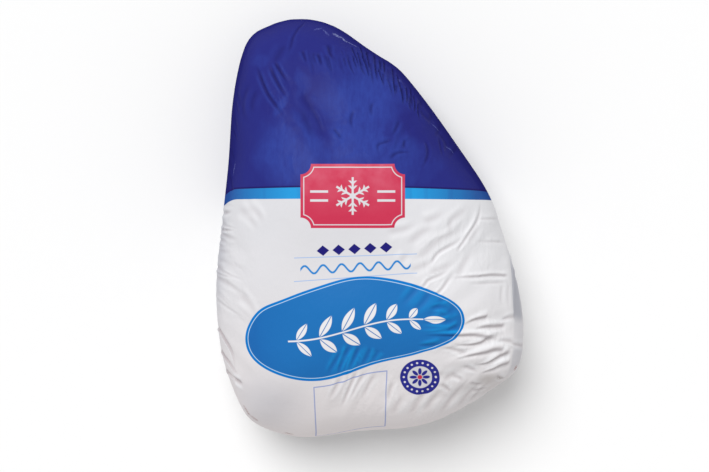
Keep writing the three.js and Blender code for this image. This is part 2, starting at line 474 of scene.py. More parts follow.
        ((17.6, 62.6), (14.6, 52.6), (10, 49)),
        ((26.4, 62), (21.4, 56.6), (17.6, 48.6)),
        ((35.8, 57), (35.4, 50), (32.4, 45)),
        ((-52.3, 50), (-51.8, 42), (-50.2, 34)),
    )),
    # the close dark row along the right edge of the dark half
    CreaseGroup(CreaseLook(0.75, 0.85, root=0.1, taper=0.3), (
        ((-6.6, 121.6), (-4.6, 114.7), (-2.5, 104)),
        ((-2.1, 118.6), (-1.2, 111.7), (0.8, 104)),
        ((2.9, 116), (3.5, 109.6), (4.3, 103.2), (5.4, 96.6)),
        ((6.7, 112), (7.3, 103.6)),
        ((9.4, 111.6), (9.9, 102)),
        ((15.2, 107.4), (15.9, 98.9), (16.3, 92.5), (17.2, 86)),
        ((18.2, 102), (20.2, 94.6), (21.2, 89)),
        ((21.2, 94), (22.1, 87.8), (22.3, 81)),
        ((24.4, 94), (24.9, 87.8), (24.4, 81.6)),
        ((27.2, 93.6), (27.8, 86), (28.3, 78.4)),
        ((29.1, 88.6), (30, 81.8), (29.6, 76.4)),
    )),
    CreaseGroup(CreaseLook(2.2, 0.4, taper=0.2), (
        ((12, 107), (12.6, 96)),
        ((32, 80), (37, 74), (42, 70)),
        ((44, 64), (50, 58), (52, 48)),
    )),
    CreaseFan(CreaseLook(0.75, 0.6, root=0.1), ((-12, 121), (31, 84)), (13, 9), (-70, -92), 15, 0.8),
    # fine streaks on the tip and down both edges of the dark half
    CreaseFan(CreaseLook(0.95, 0.5), ((-45, 119), (-8, 113)), (13, 10), (-74, -66), 12, 0.7),
    CreaseFan(CreaseLook(0.95, 0.42), ((-30, 124), (4, 108)), (10, 10), (-78, -74), 8, 0.8),
    CreaseFan(CreaseLook(1.4, 0.3), ((36, 84), (60, 52)), (12, 10), (-112, -128), 5, 0.6),
    CreaseFan(CreaseLook(1.2, 0.25), ((-90, 92), (-95, 36)), (12, 12), (-70, -78), 7, 0.7),
)


@dataclass(frozen=True)
class Crumple:
    """A place where the film lies in many soft uneven folds that run one way.

    heading, spacing and length are those of its folds, and fine is how strong the smaller ones are.
    """

    centre: Point
    reach: Point
    heading: float
    spacing: float
    length: float
    height: float
    fine: float = 0.4
    core: float = 0.35
    sway: float = 1.2
    layers: tuple[float, float, float] = (7.7, 1.3, 5.1)

    def closeness(self, points: np.ndarray) -> np.ndarray:
        """How much of it reaches each of the skin's points, 1 in its middle."""
        offset = (points[:, :2] - np.array(self.centre)) / np.array(self.reach)
        inside = 1 - smooth_step(self.core, 1.0, np.linalg.norm(offset, axis=1))
        return inside * (points[:, 2] > FACE_FLOOR)

    def heights(self, points: np.ndarray) -> np.ndarray:
        """How far the film lies in at each point.

        Args:
            points: The skin's points.

        Returns:
            Their heights, most of them below 0.
        """
        closeness = self.closeness(points)
        near = np.where(closeness > 0)[0]
        turn = math.radians(self.heading)
        along = points[near, 0] * math.cos(turn) + points[near, 1] * math.sin(turn)
        across = points[near, 1] * math.cos(turn) - points[near, 0] * math.sin(turn)
        heights = np.zeros(len(points))
        bends, ridges, small_ones = self.layers
        for index, a, b in zip(near, along / self.length, across / self.spacing):
            bend = ripple(a * 0.6, b * 0.3, bends)
            ridge = abs(ripple(a, b + self.sway * bend, ridges))
            small = abs(ripple(a * 2.2, b * 2.4 + bend, small_ones))
            heights[index] = (3.2 * ridge - 1) + self.fine * 2.4 * small
        return self.height * closeness * heights


CRUMPLES = (
    # the dark half: a loose net over its middle, and longer ones towards the tip
    Crumple((4, 62), (52, 36), 205, 10, 24, 0.28),
    Crumple((-58, 78), (38, 56), -64, 12, 60, 0.2),
    Crumple((-15, 108), (40, 26), -70, 6, 26, 0.14),
    # the white half: long slanting folds at the right, closer ones down the right corner
    Crumple((58, -12), (50, 40), 222, 9, 60, 0.2, 0.2),
    Crumple((72, -76), (40, 34), 192, 6, 40, 0.2, 0.2),
    Crumple((0, -106), (42, 30), 240, 8, 34, 0.24, 0.2),
    Crumple((50, -112), (52, 26), 46, 8, 36, 0.28, 0.15),
    Crumple((-88, -36), (24, 56), -40, 6, 36, 0.16),
)


@dataclass(frozen=True)
class Shade:
    """A patch of painted shade where the film turns away: cool beside the bag's long fold, warm elsewhere."""

    centre: Point
    reach: Point
    strength: float

    def depth(self, plan: np.ndarray) -> np.ndarray:
        """How much painted shade it lays on each place of the design."""
        offset = (plan - np.array(self.centre)) / np.array(self.reach)
        return self.strength * (1 - smooth_step(0, 1, np.linalg.norm(offset, axis=1)))


@dataclass(frozen=True)
class FoldShade:
    """Painted shade on the film turned away behind the bag's long fold: sharp along the fold, and soft down
    the flank.
    """

    edge: float = 99.6
    edge_along: float = -55.0
    lean: float = 0.12
    sharp: float = 1.6
    soft: Point = (106.0, 122.0)
    places: tuple[float, ...] = (-106, -93, -83, -78, -73, -64, -58, -26, -10)
    strengths: tuple[float, ...] = (0, 0.4, 0.45, 0.1, 0.25, 0.2, 0.85, 0.85, 0)

    def depth(self, plan: np.ndarray) -> np.ndarray:
        """How much painted shade it lays on each place of the design."""
        beyond = plan[:, 0] - self.edge - self.lean * (plan[:, 1] - self.edge_along)
        sides = smooth_step(-self.sharp, self.sharp, beyond) * (1 - smooth_step(*self.soft, plan[:, 0]))
        return np.interp(plan[:, 1], self.places, self.strengths) * sides


# painted shade: cool behind the long fold, over the lower left and along the left rim; warm at the lower
# right corner
COOL_SHADES = (FoldShade(), Shade((-70, -118), (40, 32), 0.4), Shade((-110, -14), (20, 60), 0.7))
WARM_SHADES = (Shade((80, -102), (13, 7), 0.55), Shade((84, -112), (36, 14), 0.35))


@dataclass(frozen=True)
class FilmDraw:
    """A place where gathers have drawn the print aside."""

    centre: Point
    reach: Point
    shift: Point

    def applied(self, plan: np.ndarray) -> np.ndarray:
        """Finds where places of the drawn film lie on the undisturbed print."""
        offset = (plan - np.array(self.centre)) / np.array(self.reach)
        return plan - np.exp(-(offset**2).sum(1))[:, None] * np.array(self.shift)


DRAWS = (
    FilmDraw((14, -92), (38, 17), shift=(0, 8.4)),
    FilmDraw((48, -46), (34, 16), shift=(0, -4.6)),
    FilmDraw((-74, -54), (12, 12), shift=(0, 2.5)),
    FilmDraw((-9, -36), (22, 12), shift=(0, 2.8)),
    FilmDraw((-80, -68), (12, 20), shift=(-1.2, 0.9)),
    FilmDraw((-40, -101), (22, 12), shift=(0, -1.5)),
    FilmDraw((42, -85), (16, 12), shift=(0, 2.0)),
)


@dataclass(frozen=True)
class LaidCrease:
    """A crease laid out on the skin."""

    route: np.ndarray
    look: CreaseLook

    def beside(
        self, places: np.ndarray, normals: np.ndarray
    ) -> tuple[np.ndarray, np.ndarray, np.ndarray, np.ndarray]:
        """Measures how places of the skin lie beside the crease.

        Args:
            places: The places.
            normals: The directions that the skin faces there.

        Returns:
            For each place its distance, its side as 1 or -1, how far along the crease it is from 0 to 1,
            and the direction across the crease.
        """
        best = np.full(len(places), np.inf)
        side, share = np.zeros((2, len(places)))
        aside = np.zeros_like(places)
        stretches = len(self.route) - 1
        for index, (start, step) in enumerate(zip(self.route, np.diff(self.route, axis=0))):
            along = np.clip((places - start) @ step / (step @ step), 0, 1)
            offset = places - start - along[:, None] * step
            distance = np.linalg.norm(offset, axis=1)
            closer = distance < best
            across = np.cross(step / np.linalg.norm(step), normals)
            best[closer] = distance[closer]
            side[closer] = np.sign((offset * across).sum(1))[closer]
            share[closer] = ((index + along) / stretches)[closer]
            aside[closer] = across[closer]
        return best, side, share, aside


@dataclass(frozen=True)
class SkinSurface:
    """The smooth skin, to find places on it."""

    tree: BVHTree
    view: "ViewPoint"
    sideways: float = 400.0
    fall: float = 2.4

    def on_face(self, x: float, y: float) -> np.ndarray:
        """Finds what the camera sees at a place of the picture, or a point down the flank for one beside it.

        Args:
            x: The place across the design.
            y: The place along the design.

        Returns:
            The point.
        """
        left, low = self.view.slip
        place = Vector((x + left, y + low, self.view.girth)) * MM
        eye = Vector(self.view.eye()) * MM
        hit = self.tree.ray_cast(eye, (place - eye).normalized())[0]
        if hit is None:
            rim = self.tree.find_nearest(place)[0]
            beside = place - rim
            beside.z = 0
            drop = Vector((0, 0, -self.fall * beside.length))
            hit = self.tree.ray_cast(rim + drop + beside.normalized() * self.sideways * MM, -beside)[0]
        return np.array(hit) / MM

    def on_flank(self, turn: float, height: float) -> np.ndarray:
        """The flank's point in one direction from the middle.

        Args:
            turn: The direction in plan, in radians.
            height: The height over the floor.

        Returns:
            The point.
        """
        outward = Vector((math.cos(turn), math.sin(turn), 0))
        start = outward * self.sideways * MM + Vector((0, 0, height * MM))
        return np.array(self.tree.ray_cast(start, -outward)[0]) / MM


@dataclass(frozen=True)
class FlankGathers:
    """Creases where the film turns under the pack, all the way round, square to its outline."""

    count: int = 54
    top: Point = (22, 40)
    bottom: Point = (3, 10)
    width: Point = (1.9, 3.4)
    depth: Point = (0.7, 2.1)
    lean: float = 0.08

    def laid_on(self, skin: SkinSurface, random: np.random.Generator) -> list[LaidCrease]:
        """Lays the creases down the flank.

        Args:
            skin: The surface that they lie on.
            random: The seeded source of their places.

        Returns:
            The creases.
        """
        rows = []
        for index in range(self.count):
            turn = 2 * math.pi * (index + random.uniform(-0.4, 0.4)) / self.count
            top, bottom = random.uniform(*self.top), random.uniform(*self.bottom)
            lean = random.uniform(-self.lean, self.lean)
            look = CreaseLook(random.uniform(*self.width), random.uniform(*self.depth), taper=0.0, shade_tint=0.4)
            shares = np.linspace(0, 1, 11)
            route = [skin.on_flank(turn + lean * s, bottom + s * (top - bottom)) for s in shares]
            rows.append(LaidCrease(np.array(route), look))
        return rows


@dataclass(frozen=True)
class NeckGathers:
    """Creases that fan out over the wide end, from where the bag's neck is tucked under the pack."""

    middle: float = -97.0
    height: float = 4.0
    away: float = 125.0
    count: int = 15
    spread: float = 78.0
    opening: float = 1.5
    length: Point = (20, 42)
    width: Point = (1.3, 1.85)
    depth: Point = (0.8, 1.9)

    def laid_on(self, skin: SkinSurface, random: np.random.Generator) -> list[LaidCrease]:
        """Lays the creases up the flank.

        Args:
            skin: The surface that they lie on.
            random: The seeded source of their unevenness.

        Returns:
            The creases.
        """
        rows = []
        for index in range(self.count):
            share = (index + random.uniform(-0.3, 0.3)) / (self.count - 1)
            heading = math.radians(self.spread * (2 * share - 1))
            steps = np.linspace(0.1, 1, 13) * random.uniform(*self.length)
            turns = math.radians(self.middle) + steps * math.sin(heading) * self.opening / self.away
            heights = self.height + steps * math.cos(heading)
            look = CreaseLook(random.uniform(*self.width), random.uniform(*self.depth), taper=-0.6, shade_tint=0.5)
            rows.append(LaidCrease(np.array([skin.on_flank(*place) for place in zip(turns, heights)]), look))
        return rows


@dataclass(frozen=True)
class FlankDents:
    """Soft folds and dents all round the flank, drawn out downwards."""

    fade: Point = (28.0, 42.0)
    spacing: float = 15.0
    drawn_out: float = 0.4
    height: float = 0.8

    def heights(self, points: np.ndarray) -> np.ndarray:
        """How far the film stands out or lies in at each point.

        Args:
            points: The skin's points.

        Returns:
            Their heights.
        """
        closeness = 1 - smooth_step(*self.fade, points[:, 2])
        heights = np.zeros(len(points))
        for index in np.where(closeness > 0)[0]:
            x, y, z = points[index] / self.spacing
            ridge = abs(ripple(x, y, z * self.drawn_out))
            heights[index] = 2.4 * ridge - 0.7 + ripple(x * 0.5, y * 0.5, z * 0.5 + 4)
        return self.height * closeness * heights


@dataclass
class FilmRelief:
    """Presses creases into a skin, and keeps how the film gathers beside them and the painted shade and
    highlight along them.
    """

    points: np.ndarray
    normals: np.ndarray
    reach: float = 5.0
    pull: float = 0.95
    pull_width: float = 2.6
    height: np.ndarray = field(init=False)
    gather: np.ndarray = field(init=False)
    # painted shade in the creases and painted highlight on their crests
    crease_shade: np.ndarray = field(init=False)
    lift: np.ndarray = field(init=False)
    crumpled: np.ndarray = field(init=False)

    def __post_init__(self) -> None:
        """Starts with a smooth skin."""
        self.height, self.crease_shade, self.lift, self.crumpled = np.zeros((4, len(self.points)))
        self.gather = np.zeros_like(self.points)

    def crumple(self, crumple: Crumple) -> None:
        """Adds a crumpled place."""
        self.height += crumple.heights(self.points)
        self.crumpled = np.maximum(self.crumpled, crumple.closeness(self.points))

    def press(self, crease: LaidCrease) -> None:
        """Presses one crease into the skin.

        Args:
            crease: The crease.
        """
        route, look = crease.route, crease.look
        reach = self.reach * look.width
        low, high = route.min(0) - reach, route.max(0) + reach
        near = np.where(((self.points > low) & (self.points < high)).all(1))[0]
        if not len(near):
            return
        distance, side, share, aside = crease.beside(self.points[near], self.normals[near])
        ratio = distance / look.half_width(share)
        fade = look.fade(share, ratio)
        form, dark, light = look.section(ratio, side)
        strength = min(look.depth, 1.0) * fade
        self.height[near] += look.depth * fade * form
        # painted shade where the crease looks dark, and painted highlight where it looks light
        self.crease_shade[near] = np.maximum(self.crease_shade[near], look.shade_tint * strength * dark)
        self.lift[near] = np.maximum(self.lift[near], strength * light)
        pull = -self.pull * look.depth * side * np.tanh(ratio) * bell(ratio, 0, self.pull_width) * fade
        self.gather[near] += pull[:, None] * aside


@dataclass
class NodeBench:
    """Adds the nodes of one material and links them."""

    tree: bpy.types.NodeTree

    def feed(self, socket: Socket, value: object) -> None:
        """Links a term to a socket, or sets a plain value on it."""
        if isinstance(value, Term):
            self.tree.links.new(value.socket, socket)
        else:
            socket.default_value = value

    def node(
        self, kind: str, inputs: dict[str | int, object], output: str | int = 0, **settings: object
    ) -> "Term":
        """Adds a node.

        Args:
            kind: Blender's name for the node.
            inputs: What goes into its sockets, by name or number.
            output: The output that is used.
            **settings: The node's own values.

        Returns:
            That output.
        """
        node = self.tree.nodes.new(kind)
        for name, value in settings.items():
            setattr(node, name, value)
        for name, value in inputs.items():
            self.feed(node.inputs[name], value)
        return Term(self, node.outputs[output])

    def attribute(self, name: str) -> "Term":
        """A vector stored on the piece's points."""
        return self.node("ShaderNodeAttribute", {}, "Vector", attribute_name=name)

    def join(self, x: "Value", y: "Value") -> "Term":
        """One flat place of two values."""
        return self.node("ShaderNodeCombineXYZ", {0: x, 1: y})


@dataclass(frozen=True)
class Term:
    """A value, place or colour that changes over the film, and what can be worked out from it."""

    bench: NodeBench
    socket: Socket

    def math(self, operation: str, *others: "Value", clamp: bool = False) -> "Term":
        """Works one sum that this value comes first in."""
        inputs = dict(enumerate((self, *others)))
        return self.bench.node("ShaderNodeMath", inputs, operation=operation, use_clamp=clamp)

    def vector(self, operation: str, *others: object, output: str | int = 0) -> "Term":
        """Works one sum on vectors that this one comes first in."""
        inputs = dict(enumerate((self, *others)))
        return self.bench.node("ShaderNodeVectorMath", inputs, output, operation=operation)

    def __add__(self, other: "Value") -> "Term":
        """This value and another together."""
        return self.math("ADD", other)

    def __sub__(self, other: "Value") -> "Term":
        """This value less another."""
        return self.math("SUBTRACT", other)

    def __rsub__(self, other: float) -> "Term":
        """A plain value less this one."""
        return self.bench.node("ShaderNodeMath", {0: other, 1: self}, operation="SUBTRACT")

    def __mul__(self, other: "Value") -> "Term":
        """This value times another."""
        return self.math("MULTIPLY", other)

    def __truediv__(self, other: "Value") -> "Term":
        """This value divided by another."""
        return self.math("DIVIDE", other)

    def __pow__(self, other: float) -> "Term":
        """This value to a power."""
        return self.math("POWER", other)

    def __abs__(self) -> "Term":
        """This value without its sign."""
        return self.math("ABSOLUTE")

    def wrap(self, part: float) -> "Term":
        """The same value in every part of its way, 0 in the middle of each."""
        return self.math("WRAP", part / 2, -part / 2)

    def window(self, low: float, high: float) -> "Term":
        """Rises from 0 at low to 1 at high."""
        return self.math("MULTIPLY_ADD", 1 / (high - low), -low / (high - low), clamp=True)

    def ink(self, soft: float = 0.25) -> "Term":
        """Turns the distance from a shape, less than 0 inside it, into a mask with an edge of that width."""
        return self.math("MULTIPLY_ADD", -1 / soft, 0.5, clamp=True)

    def parts(self) -> tuple["Term", "Term"]:
        """How far a place lies across and along."""
        node = self.bench.node("ShaderNodeSeparateXYZ", {0: self}).socket.node
        return Term(self.bench, node.outputs[0]), Term(self.bench, node.outputs[1])

    def third(self) -> "Term":
        """The third part of a vector."""
        return self.bench.node("ShaderNodeSeparateXYZ", {0: self}, 2)

    def length(self) -> "Term":
        """How far a place lies from the middle."""
        return self.vector("LENGTH", output="Value")

    def local(self, centre: Point, tilt: float = 0.0, size: Point = (1, 1)) -> "Term":
        """Places as seen from a shape's own middle.

        Args:
            centre: The shape's middle.
            tilt: How far it leans, in degrees.
            size: What counts as 1 across and along it.

        Returns:
            The places in the shape's own frame.
        """
        frame_of = {"Vector": self, "Location": (*centre, 0), "Rotation": (0, 0, math.radians(tilt))}
        return self.bench.node("ShaderNodeMapping", frame_of | {"Scale": (*size, 1)}, vector_type="TEXTURE")

    def noise(self, scale: float, detail: float = 3, rough: float = 0.5, output: int = 0) -> "Term":
        """Soft noise.

        Args:
            scale: How fine it is.
            detail: How many finer layers it has.
            rough: How strong those are.
            output: 0 for one value at each place, or 1 for three.

        Returns:
            Values from 0 to 1.
        """
        inputs = {"Vector": self, "Scale": scale, "Detail": detail, "Roughness": rough}
        return self.bench.node("ShaderNodeTexNoise", inputs, output)

    def mix(self, under: "Term | Colour", over: "Term | Colour") -> "Term":
        """Lays one colour over another, as far as this value says."""
        lower, upper = (colour if isinstance(colour, Term) else (*colour, 1) for colour in (under, over))
        return self.bench.node("ShaderNodeMix", {0: self, 6: lower, 7: upper}, 2, data_type="RGBA")


Value = float | Term
Paint = Term | Colour
Layer = tuple[Term, Paint]
Patch = tuple[Point, float, Point, float]


def least(*terms: Value) -> Term:
    """The least of several values, which joins shapes."""
    return reduce(lambda one, other: one.math("MINIMUM", other), terms)


def most(*terms: Value) -> Term:
    """The most of several values, which keeps only what shapes share."""
    return reduce(lambda one, other: one.math("MAXIMUM", other), terms)


def painted(colour: Paint, layers: list[Layer]) -> Term:
    """Lays inks over a colour in turn, each as far as its mask says."""
    for mask, ink in layers:
        colour = mask.mix(colour, ink)
    return colour


@dataclass(frozen=True)
class Inks:
    """The colours of the print and of the film under it, and of the painted light and shade laid over them.
    """

    white: Colour = linear(208, 208, 212)
    # painted light and shade on the white film: lighter to the right and low down, warm painted shade, a
    # painted highlight on crests, painted shade in creases and cool painted shade where it turns away
    right_lit_white: Colour = linear(227, 227, 230)
    low_lit_white: Colour = linear(231, 224, 224)
    warm_shade_white: Colour = linear(186, 178, 174)
    highlight_white: Colour = linear(236, 236, 239)
    crease_shade_white: Colour = linear(164, 154, 157)
    shaded_white: Colour = linear(166, 168, 178)
    milky: Colour = linear(206, 203, 205)
    # the dark field: painted shade on its flanks, its own colour, hazy frost with painted reflection, and
    # painted shade in its creases
    navy_flank_shade: Colour = linear(34, 33, 98)
    navy_field: Colour = linear(39, 41, 117)
    frost_and_sheen_field: Colour = linear(48, 64, 146)
    navy_crease_shade: Colour = linear(28, 26, 80)
    overprint: Colour = linear(34, 27, 92)
    band: Colour = linear(42, 90, 158)
    # the band's middle, lit with painted light
    lit_band: Colour = linear(38, 146, 208)
    red: Colour = linear(193, 51, 80)
    # painted light towards the plaque's top, and painted shade in its creases
    lit_red: Colour = linear(204, 92, 114)
    red_crease_shade: Colour = linear(160, 24, 52)
    diamonds: Colour = linear(30, 26, 110)
    rule: Colour = linear(120, 165, 222)
    wave: Colour = linear(40, 126, 196)
    oval: Colour = linear(32, 101, 171)
    # painted light where the oval faces up, a painted highlight on its crests and painted shade in its
    # creases
    upward_lit_oval: Colour = linear(33, 110, 178)
    oval_highlight: Colour = linear(24, 148, 214)
    oval_crease_shade: Colour = linear(30, 80, 148)
    oval_rim: Colour = linear(10, 116, 194)
    keyline: Colour = linear(196, 220, 238)
    pale_ink: Colour = linear(226, 224, 226)
    badge: Colour = linear(44, 46, 136)
    label_line: Colour = linear(126, 144, 200)


class FilmPlaces:
    """What the finish knows about each place of the film."""

    def __init__(self, bench: NodeBench) -> None:
        """Reads the piece's attributes.

        Args:
            bench: Where the material's nodes are added.
        """
        self.bench = bench
        self.spread = bench.node("ShaderNodeTexCoord", {}, "Object")
        layout, drawn, folds, shades = map(bench.attribute, ("layout", "drawn", "folds", "shades"))
        self.across, self.along = layout.parts()
        self.level = layout.third()
        self.place = bench.join(self.across, self.along)
        self.drawn = bench.join(*drawn.parts())
        self.upright = drawn.third()
        # painted shade in the creases and painted highlight on their crests
        self.crease_shade, self.lift = folds.parts()
        self.crumpled = folds.third()
        # cool and warm painted shade
        self.cool, self.warm = shades.parts()
        # the painted highlight where the film faces up
        self.painted_sheen = self.lift * self.upright.window(0.55, 0.95)


class FilmDesign(FilmPlaces):
    """The film's printed design, laid out in millimetres, as layers of ink from the film upwards.

    hazes and hollows are patches of more and less hazy frost and painted reflection on the dark field, each
    with its middle, tilt, half size and strength.
    """

    inks: Inks = Inks()
    band_top: float = 27.0
    band_bottom: float = 19.2
    overprint: float = 1.1
    plaque_centre: Point = (-11.8, 21.0)
    plaque_half: Point = (35.0, 21.5)
    row_centre: Point = (-10.6, -14.5)
    wave_centre: Point = (-9.9, -26.8)
    oval_centre: Point = (-9.8, -68.5)
    oval_half: Point = (73.5, 32.5)
    oval_tilt: float = 8.0
    oval_power: float = 2.15
    oval_rim: float = 1.9
    badge_centre: Point = (33.2, -100.4)
    badge_half: Point = (13.3, 11.8)
    frost_and_sheen_patches: tuple[Patch, ...] = (
        ((-8, 84), 12, (34, 32), 1.0),
        ((-12, 56), 0, (38, 22), 1.0),
        ((-52, 50), 8, (26, 28), 0.95),
        ((18, 44), 20, (20, 16), 0.7),
        ((-60, 82), 66, (12, 4), 0.8),
        ((-46, 97), 80, (12, 4), 0.5),
        ((-24, 108), 0, (18, 10), 0.4),
        ((-76, 112), 40, (10, 8), 0.4),
        ((40, 40), 40, (18, 10), 0.3),
    )
    hollows: tuple[Patch, ...] = (
        ((-37, 69), -62, (22, 6), 0.8),
        ((-52, 64), -80, (16, 4), 0.6),
        ((-74, 84), -60, (24, 7), 0.5),
        ((36, 62), -46, (30, 8), 0.8),
        ((12, 60), -70, (10, 4), 0.5),
    )

    def colour(self) -> Term:
        """The film's colour with all of its print."""
        parts = (self._label_box, self._badge, self._rows, self._oval, self._field, self._plaque, self._marks)
        return painted(self.inks.white, [layer for part in (self._white, *parts) for layer in part()])

    def _white(self) -> list[Layer]:
        """The bare film: milky in patches, with painted light to the right and low down, and painted
        highlights and shade.
        """
        lower = self.along.window(24, -150)
        patches = self.spread.noise(18, detail=4, rough=0.55).window(0.42, 0.72)
        return [
            (patches * 0.3, self.inks.milky),
            # painted light: lighter to the right and low down, against the key light's fall-off, and a little
            # warmer low down
            (self.across.window(5, 95), self.inks.right_lit_white),
            (lower * lower, self.inks.low_lit_white),
            # painted highlight on crests, painted shade where the film turns away, and painted shade in
            # creases, pinkish where the meat shows through
            (self.lift * 0.9, self.inks.highlight_white),
            (self.cool * 0.9, self.inks.shaded_white),
            (self.warm * 0.9, self.inks.warm_shade_white),
            (self.crease_shade * 0.62, self.inks.crease_shade_white),
        ]

    def _label_box(self) -> list[Layer]:
        """The empty box for a scale label, a thin swaying line round a leaning four-sided place."""
        corners = ((-37.8, -107.5), (11.1, -95.8), (10.6, -138.3), (-37.8, -107.5))
        sway, swing, start, line = 44.0, 0.9, 14.0, 0.36
        turn = self.across * (2 * math.pi / sway) + 2 * math.pi * start / sway
        place = self.bench.join(self.across, turn.math("SINE") * -swing + self.along)
        distances = []
        for (x, y), heading in zip(corners, (103.4, -1.7, -75.7, 182.8)):
            outward = (math.cos(math.radians(heading)), math.sin(math.radians(heading)), 0)
            facing = place.vector("DOT_PRODUCT", outward, output="Value")
            distances.append(facing - (x * outward[0] + y * outward[1]))
        return [((abs(most(*distances)) - line).ink(0.35) * 0.8, self.inks.label_line)]

    def _badge(self) -> list[Layer]:
        """A round badge: a dark ring with small beads, and an eight-petalled flower in its middle."""
        beads, petals, hole, heart, edge = 18, 8, 0.62, 0.12, 0.025
        inner = self.place.local(self.badge_centre, 0, self.badge_half)
        x, y = inner.parts()
        radius = inner.length()
        angle = y.math("ARCTAN2", x)
        disc = radius - 1.0
        shapes = (
            (disc, self.inks.white),
            (most(disc, hole - radius), self.inks.badge),
            (self._round_the_middle(angle, radius, beads, 0.81, (0.055, 0.055)), self.inks.pale_ink),
            (self._round_the_middle(angle, radius, petals, 0.33, (0.19, 0.09)), self.inks.badge),
            (radius - heart, self.inks.red),
        )
        return [(shape.ink(edge), ink) for shape, ink in shapes]

    def _round_the_middle(self, angle: Term, radius: Term, count: int, reach: float, half: Point) -> Term:
        """A ring of equal ovals round a middle.

        Args:
            angle: Direction from the middle.
            radius: Distance from the middle.
            count: How many ovals there are.
            reach: How far out they stand.
            half: Their half length outwards and half width.

        Returns:
            The distance to the nearest oval, in the units of the radius.
        """
        turned = angle.wrap(2 * math.pi / count)
        outward = radius * turned.math("COSINE") - reach
        beside = radius * turned.math("SINE")
        return (self.bench.join(outward / half[0], beside / half[1]).length() - 1.0) * min(half)

    def _rows(self) -> list[Layer]:
        """A row of dark diamonds, and a light wave between two thin rules."""
        lean, diamonds, pitch, half, slim = 3.0, 5, 10.6, (4.2, 3.5), 2.7
        x, y = self.place.local(self.row_centre, lean).parts()
        slant = abs(x.wrap(pitch)) / half[0] + abs(y) / half[1]
        layers = [(most((slant - 1.0) * slim, abs(x) - diamonds * pitch / 2).ink(), self.inks.diamonds)]

        middle, reach, line = self.wave_centre[0], 41.2, 0.22
        for height, slope in ((-19.2, 0.033), (-33.4, 0.072)):
            off = abs(self.along - (self.across * slope + (height - slope * middle)))
            rule = most(off - line, abs(self.across - middle) - reach)
            layers.append((rule.ink(0.4) * 0.85, self.inks.rule))

        length, rise, pitch, line, thinning = 37.0, 2.6, 12.4, 0.62, 0.65
        x, y = self.place.local(self.wave_centre, lean).parts()
        turn = x * (2 * math.pi / pitch)
        near = abs(y - turn.math("SINE") * rise) / (abs(turn.math("COSINE")) * thinning + 1.0)
        return [*layers, (most(near - line, abs(x) - length).ink(0.35), self.inks.wave)]

    def _oval(self) -> list[Layer]:
        """The blue oval with its keyline, and a pale herb sprig along it."""
        power = self.oval_power
        parts = self.drawn.local(self.oval_centre, self.oval_tilt, self.oval_half).parts()
        x, y = (most(abs(part), 0.001) for part in parts)
        slopes = [part ** (power - 1) * (power / half) for part, half in zip((x, y), self.oval_half)]
        oval = (x**power + y**power - 1.0) / most(self.bench.join(*slopes).length(), 0.01)
        inside = oval + self.oval_rim
        # painted light where the oval faces up, a painted highlight on its crests and painted shade in its
        # creases
        fill = painted(self.inks.oval, [
            (self.upright.window(0.84, 0.995), self.inks.upward_lit_oval),
            (self.painted_sheen * 0.9, self.inks.oval_highlight),
            (self.crease_shade * 0.8, self.inks.oval_crease_shade),
        ])
        return [
            (oval.ink(), self.inks.oval_rim),
            (inside.ink(), fill),
            ((abs(inside) - 0.2).ink(0.35), self.inks.keyline),
            (self._sprig(), self.inks.pale_ink),
        ]

    def _sprig(self) -> Term:
        """The mask of a stem with leaves in pairs and one at its end, each with its midrib left clear."""
        reach, pitch, root, leaf, girth, lean, stem, midrib = 46.0, 15.4, 5.0, 7.6, 3.1, 52.0, 0.55, 0.28
        bend, swing, shrink, full = 0.055, 3.0, 0.00022, 1.12
        x, y = self.drawn.local(self.oval_centre, self.oval_tilt).parts()
        level = y - (x * bend).math("SINE") * swing
        beside = abs(level)
        ends = abs(x) - reach
        size = x * x * -shrink + full
        shapes = [most(beside - stem, ends)]
        for forward, sideways, turn, limit in (
            (((x + root).wrap(pitch) + root) / size, beside / size, math.radians(lean), ends),
            (x - (reach - 1.0), level, 0.0, -1.0),
        ):
            middle = (forward * math.cos(turn) + sideways * math.sin(turn) - (leaf + 1.0)) / leaf
            off = abs(sideways * math.cos(turn) - forward * math.sin(turn))
            shapes.append(most(off - (middle * middle * -girth + girth), midrib - off, limit))
        return least(*shapes).ink(0.35)

    def _field(self) -> list[Layer]:
        """The dark field over the narrow half, with hazy frost and painted reflection in patches, and the
        light band along its foot.
        """
        frost_and_sheen = self._frost_and_sheen()
        # painted shade where the film turns steeply away
        flank_shade = self.upright.window(0.72, 0.2)
        # the field with hazy frost and painted reflection, a painted highlight on crests, and painted shade
        # on flanks and in creases
        navy = painted(self.inks.navy_field, [
            (frost_and_sheen, self.inks.frost_and_sheen_field),
            (self.painted_sheen * 0.7, self.inks.frost_and_sheen_field),
            (flank_shade, self.inks.navy_flank_shade),
            (self.crease_shade * 0.9, self.inks.navy_crease_shade),
        ])
        band_light_middle, bow_middle, top_bow, bottom_bow = -12.0, -20.0, 0.00028, 0.000086
        streaks = self.bench.join(self.across, self.level * 0.06).noise(0.12, detail=2)
        # painted light: the band is lighter across its middle in uneven streaks, and painted shade dims it
        # where it turns steeply away
        band_light = abs(self.across - band_light_middle).window(84, 42) * streaks.window(0.0, 0.5)
        band_flank_shade = (flank_shade * 0.5, self.inks.navy_field)
        strip = painted(self.inks.band, [(band_light, self.inks.lit_band), band_flank_shade])
        aside = self.across - bow_middle
        bowed = aside * aside
        top = self.band_top - (bowed * top_bow + self.level)
        bottom = self.band_bottom - (bowed * bottom_bow + self.level)
        return [
            (bottom.ink(), strip),
            (top.ink(), self.inks.overprint),
            ((top + self.overprint).ink(0.9), navy),
        ]

